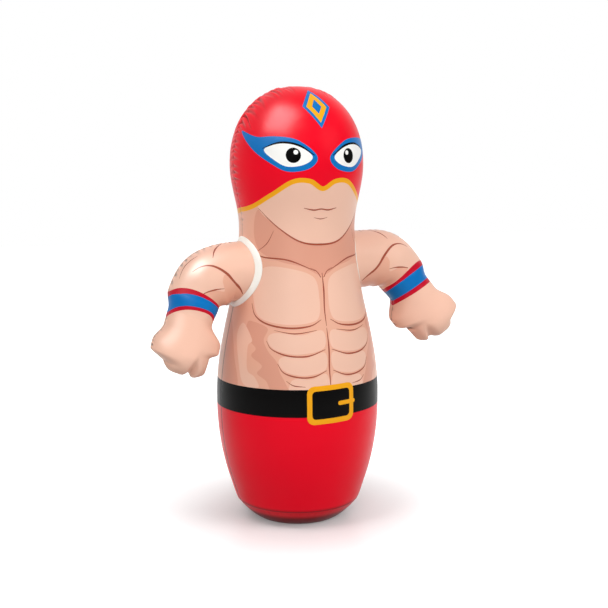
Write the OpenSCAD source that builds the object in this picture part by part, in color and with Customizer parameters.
// Inflatable standing bag in the shape of a masked wrestler.
// A welded vinyl bag with two air-filled arms, a water ballast chamber in the base,
// an air valve in the back and a water filling valve low down behind.
// Millimetres. +Z is up, the figure faces -Y and its left arm is at +X.
// The origin is the centre of the flat base, on the floor.

/* [Bag] */
// Height from the floor to the crown
total_h = 910; // [860:5:1000]
// Radius of the head at its widest
head_r = 140; // [126:1:160]
// Height of the head's widest ring
head_z = 750; // [720:5:790]
// Fullness of the crown: 2 is an ellipse, more is squarer
dome_power = 2.15; // [2:0.05:3]
// Radius of the neck
neck_r = 122; // [108:1:134]
// Height of the neck
neck_z = 620; // [610:1:640]
// Radius of the belly
belly_r = 173; // [160:1:190]
// Height where the chest starts to narrow towards the neck
belly_top_z = 265; // [255:1:300]
// Height where the trunks start to narrow towards the base
belly_low_z = 250; // [220:1:254]
// Height over which the trunks would narrow to a point
belly_drop = 316; // [300:1:420]
// Height of the seam between the panels and the base
base_seam_z = 40; // [30:1:43]
// Radius of the flat that stands on the floor
base_flat_r = 90; // [70:1:105]
// How far the base bulges past a straight slope between the flat and the seam
base_bulge = 4; // [0:0.5:8]
// Thickness of the vinyl sheet
sheet_t = 0.5; // [0.3:0.05:0.8]

/* [Seams] */
// Width of the weld fin inside each seam
fin_w = 6; // [3:0.5:7]
// Thickness of the weld fin, two sheets together
fin_t = 1; // [0.6:0.1:1.6]
// Gap between pieces that are welded or lie together
seat_gap = 0.05; // [0.02:0.01:0.2]

/* [Ballast] */
// Height at which the diaphragm meets the wall
diaphragm_z = 90; // [86:1:140]
// Rise of the diaphragm in the middle
diaphragm_rise = 14; // [4:1:40]
// Height of the diaphragm's weld band
diaphragm_band = 8; // [4:1:14]
// Gap between the water and the sheet around it
water_gap = 0.3; // [0.1:0.1:0.8]

/* [Shoulders] */
// Height of the left shoulder
left_shoulder_z = 546; // [530:1:547]
// Height of the right shoulder
right_shoulder_z = 530; // [520:1:546]
// Radius of the air hole between the bag and an arm
air_hole_r = 65; // [63.5:0.5:68]
// Outer radius of the shoulder collar, where it lies on the bag
collar_r = 72.5; // [70:0.5:80]
// Thickness of the collar
collar_t = 0.8; // [0.4:0.1:1.4]
// Height of the collar's inner lip off the bag
collar_lift = 5; // [3:0.5:8]
// Rise of the collar's rolled middle
collar_roll = 1.2; // [0:0.1:3]
// Running gap between the collar and the arm
collar_gap = 0.6; // [0.3:0.1:0.9]

/* [Arms] */
// Radius of the arm at the shoulder
shoulder_r = 62; // [54:0.5:62.5]
// Reach of the elbow's outer side from the centre line
elbow_out = 67; // [58:0.5:70]
// Reach of the elbow's inner side from the centre line
elbow_in = 59; // [50:0.5:62]
// Reach of the outer side at the upper edge of the wristband
band_out = 63.5; // [54:0.5:66]
// Reach of the inner side at the upper edge of the wristband
band_in = 46; // [42:0.5:54]
// Reach of the wrist's outer side below the band
wrist_out = 52.5; // [44:0.5:56]
// Reach of the wrist's inner side below the band
wrist_in = 42.5; // [38:0.5:48]
// Length of the wristband along the arm
band_len = 36; // [20:1:40]
// Straight length of the upper arm
upper_len = 30; // [20:1:40]
// Radius of the elbow's bend, at the arm's centre line
elbow_bend_r = 84; // [78:1:100]
// Angle that the elbow turns down
elbow_angle = 60; // [45:1:70]
// Length from the wristband's upper edge to the finger ends
hand_len = 149; // [142:1:160]
// Reach of the outer knuckle from the centre line
knuckle_reach = 68.5; // [60:0.5:74]
// Distance from the wristband's lower edge to the outer knuckle
knuckle_at = 76; // [66:1:79]
// Reach of the thumb from the centre line
thumb_reach = 72.5; // [60:0.5:76]
// Distance from the wristband's lower edge to the thumb
thumb_at = 43; // [38:1:52]
// Reach of the outer finger from the centre line
finger_out = 37; // [34:0.5:46]
// Reach of the inner finger from the centre line
finger_in = 54; // [44:0.5:58]
// Half thickness of the fist
fist_depth = 50; // [42:0.5:56]
// How far the finger ends fall back on the outer side
finger_fall_out = 15; // [8:0.5:24]
// How far the finger ends fall back on the thumb side
finger_fall_in = 19.5; // [10:0.5:26]
// Depth of the notch between the finger lobes
finger_notch = 9; // [0:0.5:14]
// Place of the notch across the left hand, from -1 at the thumb side to 1
left_notch_place = -0.55; // [-0.6:0.05:0.2]
// Place of the notch across the right hand, from -1 at the thumb side to 1
right_notch_place = -0.35; // [-0.6:0.05:0.2]
// Share of the hand's half width that the notch takes
notch_share = 0.16; // [0.1:0.01:0.25]
// Share of the fist's thickness that the notch takes out between the finger ends
notch_dip = 0.45; // [0:0.05:0.8]
// Forward reach of the arm at the fist
arm_forward = 47; // [10:1:60]
// Angle that the left arm hangs below level
left_droop = -3; // [-8:0.5:9]
// Angle that the right arm hangs below level
right_droop = 7; // [-8:0.5:9]
// Width of the weld fin inside the arm's seam
arm_fin_w = 4; // [2:0.5:5]

/* [Air valve] */
// Height of the air valve on the back
air_valve_z = 400; // [350:1:440]
// Radius of the bore that the pump fits
air_bore_r = 4; // [3:0.1:4.5]
// Wall of the neck
air_neck_t = 1.5; // [1:0.1:2]
// Length of the neck inside the bag
air_neck_len = 16; // [14:0.5:22]
// Radius of the flange that is welded to the back panel
air_flange_r = 15; // [12:0.5:18]
// Radius of the rim and of the plug's cap
air_cap_r = 8; // [7.5:0.1:10]
// Length of the plug's shank
air_plug_len = 9; // [6:0.5:11]

/* [Filling valve] */
// Height of the filling valve, low on the back
fill_valve_z = 62; // [61:1:64]
// Radius of the filling bore
fill_bore_r = 8; // [6:0.1:9]
// Wall of the filling neck
fill_neck_t = 1.5; // [1:0.1:2]
// Length of the filling neck inside the bag
fill_neck_len = 9; // [6:0.5:10]
// Radius of the flange that is welded to the back panel
fill_flange_r = 16; // [14:0.5:17]
// Radius of the filling plug's cap
fill_cap_r = 12.5; // [11.5:0.1:13.5]
// Length of the filling plug's shank
fill_plug_len = 8; // [5:0.5:9]

/* [Valve parts] */
// Thickness of a valve's flange
flange_t = 0.8; // [0.5:0.1:1.2]
// Thickness of the neck's rim
rim_t = 1.2; // [0.9:0.1:2]
// Thickness of a plug's cap
cap_t = 2; // [1.6:0.1:3]
// Bevel at the cap's edge
cap_bevel = 0.6; // [0.2:0.1:0.8]
// Running gap around moving valve parts
valve_gap = 0.1; // [0.05:0.01:0.2]
// Gap between the neck and the hole it passes through
neck_hole_gap = 0.4; // [0.2:0.1:0.8]
// Width of a plug's tether
tether_w = 4; // [2:0.5:6]
// Thickness of a plug's tether
tether_t = 0.8; // [0.5:0.1:0.9]
// Width of the finger tab on a cap
tab_w = 5; // [3:0.5:6]
// Reach of the finger tab past the cap
tab_len = 3; // [1.5:0.5:5]
// Height of the barb that keeps the air neck in the bag
barb_h = 1.6; // [1:0.1:2.5]
// Reach of the barb past the neck
barb_reach = 1.2; // [0.8:0.1:2]
// Thickness of the check flap
flap_t = 0.5; // [0.3:0.1:1]

/* [Hidden] */
$fn = 64;

skin_colour = [0.93, 0.73, 0.60];
trunks_colour = [0.80, 0.03, 0.09];
collar_colour = [0.96, 0.94, 0.90];
water_colour = [0.55, 0.75, 0.88, 0.5];
valve_colour = [0.90, 0.90, 0.88];

// Steps along the wall between its levels, round the crown and along the base curve
wall_steps = [20, 1, 18, 9];
dome_steps = 16;
base_steps = 8;
membrane_steps = 8;
// Steps round a collar, and along and across an arm panel
collar_steps = 48;
arm_rows = 30;
arm_cols = 20;
row_crowding = 0.35;

dome_h = total_h - head_z;
wall_levels = [base_seam_z, belly_low_z, belly_top_z, neck_z, head_z];
base_seam_r = bag_r(base_seam_z);

// The bag's wall

function ease(a, b, t) = a + (b - a) * (1 - cos(180 * t)) / 2;

// Radius of the bag's outer face at height z
function bag_r(z) =
    z >= head_z ? head_r * pow(1 - pow((z - head_z) / dome_h, dome_power), 1 / dome_power)
    : z >= neck_z ? ease(neck_r, head_r, (z - neck_z) / (head_z - neck_z))
    : z >= belly_top_z ? ease(belly_r, neck_r, (z - belly_top_z) / (neck_z - belly_top_z))
    : z >= belly_low_z ? belly_r
    : belly_r * sqrt(1 - pow((belly_low_z - z) / belly_drop, 2));

// Sideways distance from the bag's axis to its outer face, at depth y and height z
function bag_x(y, z) = sqrt(pow(bag_r(z), 2) - y * y);

function wall_heights() = [
    for (k = [0 : len(wall_steps) - 1])
        for (i = [0 : wall_steps[k] - 1])
            wall_levels[k] + (wall_levels[k + 1] - wall_levels[k]) * i / wall_steps[k]
];

// Points [radius, height] up the wall from height z0 to the crown, moved in by inset
function wall(inset, z0 = base_seam_z) = concat(
    [[bag_r(z0) - inset, z0]],
    [for (z = wall_heights()) if (z > z0) [bag_r(z) - inset, z]],
    [for (i = [0 : dome_steps])
        let (a = 90 * i / dome_steps)
        [(head_r - inset) * pow(cos(a), 2 / dome_power),
         head_z + (dome_h - inset) * pow(sin(a), 2 / dome_power)]]
);

// Points up the base's slope from the flat to the seam, moved in by inset
function base_curve(inset) = let (
    run = base_seam_r - inset - base_flat_r,
    rise = base_seam_z - inset,
    bulge = 4 * (base_bulge - 0.3 * inset) / norm([run, rise])
) [
    for (i = [0 : base_steps])
        let (t = i / base_steps, out = bulge * t * (1 - t))
        [base_flat_r + run * t + rise * out, inset + rise * t - run * out]
];

// Points of a shallow dome from the wall at height z to the middle, at radius r
function membrane(r, z) = [
    for (i = [0 : membrane_steps])
        let (t = 1 - i / membrane_steps)
        [r * t, z + diaphragm_rise * (1 - t * t)]
];

function backwards(list) = [for (i = [len(list) - 1 : -1 : 0]) list[i]];

// Cutters for the air holes, turned so that their own edge lines miss the seam
module shoulder_holes(r) {
    for (hole = [[bag_r(left_shoulder_z), left_shoulder_z], [-bag_r(right_shoulder_z), right_shoulder_z]])
        translate([hole[0], 0, hole[1]])
            rotate([45, 0, 0])
                rotate([0, 90, 0])
                    cylinder(h = bag_r(left_shoulder_z), r = r, center = true);
}

// Half of the bag's wall, on the +Y side
module half_wall() {
    rotate_extrude(angle = 180)
        polygon(concat(wall(0), backwards(wall(sheet_t))));
}

module front_panel() {
    color(skin_colour)
        difference() {
            rotate([0, 0, 180])
                half_wall();
            shoulder_holes(air_hole_r);
        }
}

module back_panel() {
    color(skin_colour)
        difference() {
            half_wall();
            shoulder_holes(air_hole_r);
            on_back(air_valve_z)
                cylinder(h = 4 * air_flange_r, r = air_neck_r + neck_hole_gap, center = true);
            on_back(fill_valve_z)
                cylinder(h = 4 * fill_flange_r, r = fill_neck_r + neck_hole_gap, center = true);
        }
}

module base_panel() {
    color(trunks_colour)
        rotate_extrude()
            polygon(concat([[0, 0]], base_curve(0), backwards(base_curve(sheet_t)), [[0, sheet_t]]));
}

// Weld fin inside the side seams and over the crown, in the plane between the panels
module side_seam_fin() {
    fin_z = diaphragm_z + diaphragm_band + seat_gap;
    outer = wall(sheet_t + seat_gap, fin_z);
    inner = wall(sheet_t + fin_w, fin_z);
    color(skin_colour)
        difference() {
            rotate([90, 0, 0])
                linear_extrude(fin_t, center = true)
                    for (side = [0, 1])
                        mirror([side, 0])
                            polygon(concat(outer, backwards(inner)));
            shoulder_holes(air_hole_r + seat_gap);
        }
}

module base_seam_fin() {
    fin_r = base_seam_r - sheet_t - seat_gap;
    color(trunks_colour)
        rotate_extrude()
            translate([fin_r - fin_w, base_seam_z - fin_t / 2])
                square([fin_w - fin_t / 2, fin_t]);
}

// Sheet across the base that closes the water chamber, with a band welded to the wall
module ballast_diaphragm() {
    band_top = diaphragm_z + diaphragm_band;
    wall_in = sheet_t + seat_gap;
    foot_r = bag_r(diaphragm_z) - wall_in;
    top_r = bag_r(band_top) - wall_in;
    color(collar_colour)
        rotate_extrude()
            polygon(concat(
                membrane(foot_r, diaphragm_z),
                backwards(membrane(foot_r - sheet_t, diaphragm_z + sheet_t)),
                [[top_r - sheet_t, band_top], [top_r, band_top]]
            ));
}

module ballast_water() {
    wall_in = sheet_t + water_gap;
    water_top = diaphragm_z - water_gap;
    color(water_colour)
        difference() {
            rotate_extrude()
                polygon(concat(
                    [[0, wall_in]],
                    base_curve(wall_in),
                    [for (z = wall_heights()) if (z > base_seam_z && z < water_top) [bag_r(z) - wall_in, z]],
                    membrane(bag_r(water_top) - wall_in, water_top)
                ));
            rotate_extrude()
                translate([base_seam_r - fin_w - sheet_t - water_gap, base_seam_z - fin_t / 2 - water_gap])
                    square([2 * fin_w, fin_t + 2 * water_gap]);
            on_back(fill_valve_z)
                translate([0, 0, -fill_neck_len - water_gap])
                    cylinder(h = 2 * fill_neck_len, r = fill_neck_r + water_gap);
        }
}

// Shoulders

// One ring of the collar's section, at angle a round the shoulder of an arm
function collar_section(a, arm) = let (
    inner_r = shoulder_r + collar_gap,
    middle_r = (inner_r + collar_r) / 2,
    lifts = [seat_gap + water_gap, collar_lift / 2 + collar_roll, collar_lift],
    radii = [collar_r, middle_r, inner_r],
    under = [
        for (k = [0 : 2])
            let (y = radii[k] * cos(a), z = arm[0] + radii[k] * sin(a))
            [arm[2] * (bag_x(y, z) + lifts[k]), y, z]
    ]
) concat(under, [for (p = backwards(under)) p + [arm[2] * collar_t, 0, 0]]);

module shoulder_collar(arm) {
    color(collar_colour)
        ring_sweep([
            for (i = [0 : collar_steps - 1]) collar_section(arm[2] * 360 * i / collar_steps, arm)
        ], true);
}

module left_shoulder_collar() {
    shoulder_collar(left_arm);
}

module right_shoulder_collar() {
    shoulder_collar(right_arm);
}

// Sweep through sections of equal length, as a closed loop or with two flat ends
module ring_sweep(sections, closed) {
    n = len(sections);
    m = len(sections[0]);
    links = closed ? n : n - 1;
    sides = [
        for (i = [0 : links - 1])
            for (j = [0 : m - 1])
                let (
                    a = i * m + j,
                    b = i * m + (j + 1) % m,
                    c = ((i + 1) % n) * m + j,
                    d = ((i + 1) % n) * m + (j + 1) % m
                )
                each [[a, c, d], [a, d, b]]
    ];
    ends = closed ? [] : concat(
        [for (j = [1 : m - 2]) [0, j, j + 1]],
        [for (j = [1 : m - 2]) [(n - 1) * m, (n - 1) * m + j + 1, (n - 1) * m + j]]
    );
    polyhedron(
        points = [for (section = sections) each section],
        faces = concat(sides, ends),
        convexity = 6
    );
}

// Arms
// s runs along the arm's centre line from the shoulder, and q from -1 at the thumb side to 1.
// An arm is [height of its shoulder, droop, side of the bag along X, place of its finger notch].

left_arm = [left_shoulder_z, left_droop, 1, left_notch_place];
right_arm = [right_shoulder_z, right_droop, -1, right_notch_place];
elbow_len = elbow_bend_r * elbow_angle * PI / 180;
hand_s = upper_len + elbow_len;
wrist_s = hand_s + band_len;
elbow_s = upper_len + elbow_len / 2;
knuckle_s = wrist_s + knuckle_at;
thumb_s = wrist_s + thumb_at;
tip_s = hand_s + hand_len;
fist_s = wrist_s + (knuckle_at + thumb_at) / 2;

// Lengths over which the shoulder's saddle, the droop and the lobes of the hand blend in
root_blend = 40;
droop_blend = 60;
knuckle_start = 29;
lobe_half = 7;
lobe_fall = 16;
// How far the outer finger, the inner finger and the fist's thickness draw in at the finger ends
finger_taper_out = 2;
finger_taper_in = 8.5;
fist_taper = 6;
// Share of the arm's length where the finger ends start to round over, and how late their inset starts
finger_cap = 0.84;
end_power = 12;
// Fullness of the finger lobes' corners
corner_power = 5;

// [distance along the arm, reach from the centre line] on the outer side, the thumb side and in thickness
outer_widths = [
    [0, shoulder_r], [upper_len, shoulder_r], [elbow_s, elbow_out], [hand_s, band_out],
    [wrist_s, wrist_out], [wrist_s + knuckle_start, wrist_out],
    [knuckle_s - lobe_half, knuckle_reach], [knuckle_s + lobe_half, knuckle_reach],
    [knuckle_s + lobe_half + lobe_fall, finger_out], [tip_s, finger_out - finger_taper_out]
];
thumb_widths = [
    [0, shoulder_r], [upper_len, shoulder_r], [elbow_s, elbow_in], [hand_s, band_in],
    [wrist_s, wrist_in],
    [thumb_s - lobe_half, thumb_reach], [thumb_s + lobe_half, thumb_reach],
    [thumb_s + lobe_half + lobe_fall, finger_in], [tip_s - lobe_fall, finger_in],
    [tip_s, finger_in - finger_taper_in]
];
arm_depths = [
    [0, shoulder_r], [upper_len, shoulder_r], [elbow_s, (elbow_out + elbow_in) / 2],
    [hand_s, (band_out + band_in) / 2], [wrist_s, (wrist_out + wrist_in) / 2],
    [fist_s, fist_depth], [tip_s, fist_depth - fist_taper]
];

// Value at s in a list of [s, value], eased between its entries
function eased(list, s) =
    s <= list[0][0] ? list[0][1]
    : s >= list[len(list) - 1][0] ? list[len(list) - 1][1]
    : let (
        k = [for (i = [0 : len(list) - 2]) if (s >= list[i][0] && s < list[i + 1][0]) i][0],
        a = list[k],
        b = list[k + 1]
    ) ease(a[1], b[1], (s - a[0]) / (b[0] - a[0]));

// Angle that the arm has turned down at s, and its centre line there as [out, up]
function arm_turn(s) = elbow_angle * min(1, max(0, (s - upper_len) / elbow_len));

function arm_centre(s) = let (a = arm_turn(s), past = max(0, s - hand_s))
    [min(s, upper_len) + elbow_bend_r * sin(a) + past * cos(elbow_angle),
     -elbow_bend_r * (1 - cos(a)) - past * sin(elbow_angle)];

// Strength of the notch between an arm's finger lobes at q
function notch(arm, q) = exp(-pow((q - arm[3]) / notch_share, 2));

// Length of the arm along the line q, to the edge of the finger lobes
function arm_reach(arm, q) = hand_s + hand_len
    - (q > 0 ? finger_fall_out : finger_fall_in) * pow(abs(q), corner_power)
    - finger_notch * notch(arm, q);

// Point on a panel of an arm, at share f of its length; front is -1 for the front panel,
// 1 for the back one and 0 for the surface of the seam
function arm_point(arm, f, q, front, inset) = let (
    s = f * arm_reach(arm, q) - inset * pow(f, end_power),
    width = eased(q > 0 ? outer_widths : thumb_widths, s) - inset,
    turn = arm_turn(s),
    centre = arm_centre(s),
    level_out = centre[0] + q * width * sin(turn),
    level_up = centre[1] + q * width * cos(turn),
    hang = arm[1] * ease(0, 1, min(1, s / droop_blend)),
    out = level_out * cos(hang) + level_up * sin(hang),
    up = level_up * cos(hang) - level_out * sin(hang),
    end = f > finger_cap ? (f - finger_cap) / (1 - finger_cap) : 0,
    dip = 1 - notch_dip * notch(arm, q) * end * end,
    depth = (eased(arm_depths, s) - inset) * sqrt(max(0, 1 - q * q)) * sqrt(max(0, 1 - end * end)) * dip,
    y = front * depth - arm_forward * pow(s / fist_s, 2),
    z = arm[0] + up,
    side_x = bag_r(arm[0]),
    saddle_y = sqrt(max(0, shoulder_r * shoulder_r - up * up)),
    saddle = s < root_blend
        ? (bag_x(saddle_y, z) + collar_lift - side_x) * (1 - ease(0, 1, s / root_blend))
        : 0
) [arm[2] * (side_x + out + saddle), y, z];

// Share of the arm's length at row i, closer together towards the fingers
function arm_share(i) = let (t = i / arm_rows) t * (1 + row_crowding - row_crowding * t);

function arm_cross(j) = sin(180 * j / arm_cols - 90);

module arm_panel(arm, front) {
    row = arm_cols + 1;
    skin = row * (arm_rows + 1);
    points = [
        for (inset = [0, sheet_t])
            for (i = [0 : arm_rows])
                for (j = [0 : arm_cols])
                    arm_point(arm, arm_share(i), arm_cross(j), front, inset)
    ];
    outside = [
        for (i = [0 : arm_rows - 1])
            for (j = [0 : arm_cols - 1])
                let (a = i * row + j, b = a + row)
                each j < arm_cols / 2
                    ? [[a, b, a + 1], [b, b + 1, a + 1]]
                    : [[a, b, b + 1], [a, b + 1, a + 1]]
    ];
    inside = [for (face = outside) [face[2] + skin, face[1] + skin, face[0] + skin]];
    edge = concat(
        [for (i = [0 : arm_rows - 1]) [(i + 1) * row, i * row]],
        [for (i = [0 : arm_rows - 1]) [i * row + arm_cols, (i + 1) * row + arm_cols]],
        [for (j = [0 : arm_cols - 1]) [j, j + 1]],
        [for (j = [0 : arm_cols - 1]) [arm_rows * row + j + 1, arm_rows * row + j]]
    );
    rim = [for (e = edge) each [[e[0], e[1], e[1] + skin], [e[0], e[1] + skin, e[0] + skin]]];
    faces = concat(outside, inside, rim);
    color(skin_colour)
        polyhedron(
            points = points,
            faces = front * arm[2] < 0 ? [for (face = faces) backwards(face)] : faces,
            convexity = 6
        );
}

// Weld fin inside the arm's seam, round the arm's outline from the shoulder and back
module arm_seam_fin(arm) {
    outline = concat(
        [for (i = [0 : arm_rows]) [arm_share(i), 1]],
        [for (j = [arm_cols - 1 : -1 : 1]) [1, arm_cross(j)]],
        [for (i = [arm_rows : -1 : 0]) [arm_share(i), -1]]
    );
    outer_in = sheet_t + 4 * seat_gap;
    inner_in = sheet_t + arm_fin_w;
    half_t = [0, arm[2] * fin_t / 2, 0];
    color(skin_colour)
        ring_sweep([
            for (p = outline)
                let (
                    outer = arm_point(arm, p[0], p[1], 0, outer_in),
                    inner = arm_point(arm, p[0], p[1], 0, inner_in)
                )
                [outer - half_t, inner - half_t, inner + half_t, outer + half_t]
        ], false);
}

module left_arm_front_panel() {
    arm_panel(left_arm, -1);
}

module left_arm_back_panel() {
    arm_panel(left_arm, 1);
}

module left_arm_seam_fin() {
    arm_seam_fin(left_arm);
}

module right_arm_front_panel() {
    arm_panel(right_arm, -1);
}

module right_arm_back_panel() {
    arm_panel(right_arm, 1);
}

module right_arm_seam_fin() {
    arm_seam_fin(right_arm);
}

// Valves, each drawn with its axis along +Z, pointing out of the bag

air_neck_r = air_bore_r + air_neck_t;
fill_neck_r = fill_bore_r + fill_neck_t;
flange_top = seat_gap + flange_t;
rim_low = flange_top + valve_gap;
air_cap_low = rim_low + rim_t + valve_gap;
fill_cap_low = flange_top + valve_gap;
air_cap_side = air_cap_low + cap_t - cap_bevel;
fill_cap_side = fill_cap_low + cap_t - cap_bevel;

// Angle of the outward normal above the horizontal, at height z
function lean(z) = -atan((bag_r(z + 1) - bag_r(z - 1)) / 2);

module on_back(z) {
    translate([0, bag_r(z), z])
        rotate([lean(z) - 90, 0, 0])
            children();
}

module air_valve_flange() {
    color(valve_colour)
        on_back(air_valve_z)
            translate([0, 0, seat_gap])
                difference() {
                    cylinder(h = flange_t, r = air_flange_r);
                    translate([0, 0, -flange_t])
                        cylinder(h = 3 * flange_t, r = air_neck_r + neck_hole_gap / 2);
                }
}

module air_valve_neck() {
    color(valve_colour)
        on_back(air_valve_z)
            rotate_extrude()
                polygon([
                    [air_bore_r, -air_neck_len], [air_neck_r + barb_reach, -air_neck_len],
                    [air_neck_r + barb_reach, -air_neck_len + barb_h / 2], [air_neck_r, -air_neck_len + barb_h],
                    [air_neck_r, rim_low], [air_cap_r, rim_low],
                    [air_cap_r, rim_low + rim_t], [air_bore_r, rim_low + rim_t]
                ]);
}

// Plug with a cap, a shank with a rounded nose and a finger tab
module plug(bore_r, cap_r, cap_low, shank_len) {
    shank_r = bore_r - valve_gap;
    nose = shank_r / 3;
    union() {
        rotate_extrude()
            polygon([
                [0, cap_low - shank_len], [shank_r - nose, cap_low - shank_len],
                [shank_r, cap_low - shank_len + nose], [shank_r, cap_low], [cap_r, cap_low],
                [cap_r, cap_low + cap_t - cap_bevel], [cap_r - cap_bevel, cap_low + cap_t], [0, cap_low + cap_t]
            ]);
        translate([-tab_w / 2, -cap_r - tab_len, cap_low + cap_t / 3])
            cube([tab_w, cap_r + tab_len - shank_r, cap_t / 3]);
    }
}

// Folded strap beside a cap: an arc of radius fold_r about height mid, from below or from the middle up
module tether(cap_r, mid, fold_r, below) {
    translate([0, cap_r + seat_gap, mid])
        rotate([90, 0, 90])
            linear_extrude(tether_w, center = true)
                intersection() {
                    difference() {
                        circle(r = fold_r);
                        circle(r = fold_r - tether_t);
                    }
                    translate([0, below ? -fold_r : 0])
                        square([fold_r, below ? 2 * fold_r : fold_r]);
                }
}

module air_valve_plug() {
    color(valve_colour)
        on_back(air_valve_z)
            plug(air_bore_r, air_cap_r, air_cap_low, air_plug_len);
}

module air_valve_tether() {
    color(valve_colour)
        on_back(air_valve_z)
            tether(air_cap_r, (rim_low + air_cap_side) / 2, (air_cap_side - rim_low) / 2, true);
}

// Check flap over the inner end of the neck, hung from its upper edge
module air_valve_flap() {
    color(valve_colour)
        on_back(air_valve_z)
            translate([0, 0, -air_neck_len - valve_gap - flap_t])
                cylinder(h = flap_t, r = air_neck_r);
}

module fill_valve_neck() {
    color(valve_colour)
        on_back(fill_valve_z)
            rotate_extrude()
                polygon([
                    [fill_bore_r, -fill_neck_len], [fill_neck_r, -fill_neck_len], [fill_neck_r, seat_gap],
                    [fill_flange_r, seat_gap], [fill_flange_r, flange_top], [fill_bore_r, flange_top]
                ]);
}

module fill_valve_plug() {
    color(valve_colour)
        on_back(fill_valve_z)
            plug(fill_bore_r, fill_cap_r, fill_cap_low, fill_plug_len);
}

module fill_valve_tether() {
    color(valve_colour)
        on_back(fill_valve_z)
            tether(fill_cap_r, flange_top + seat_gap, fill_cap_side - flange_top, false);
}

front_panel();
back_panel();
base_panel();
side_seam_fin();
base_seam_fin();
ballast_diaphragm();
ballast_water();
left_shoulder_collar();
right_shoulder_collar();
left_arm_front_panel();
left_arm_back_panel();
left_arm_seam_fin();
right_arm_front_panel();
right_arm_back_panel();
right_arm_seam_fin();
air_valve_flange();
air_valve_neck();
air_valve_plug();
air_valve_tether();
air_valve_flap();
fill_valve_neck();
fill_valve_plug();
fill_valve_tether();
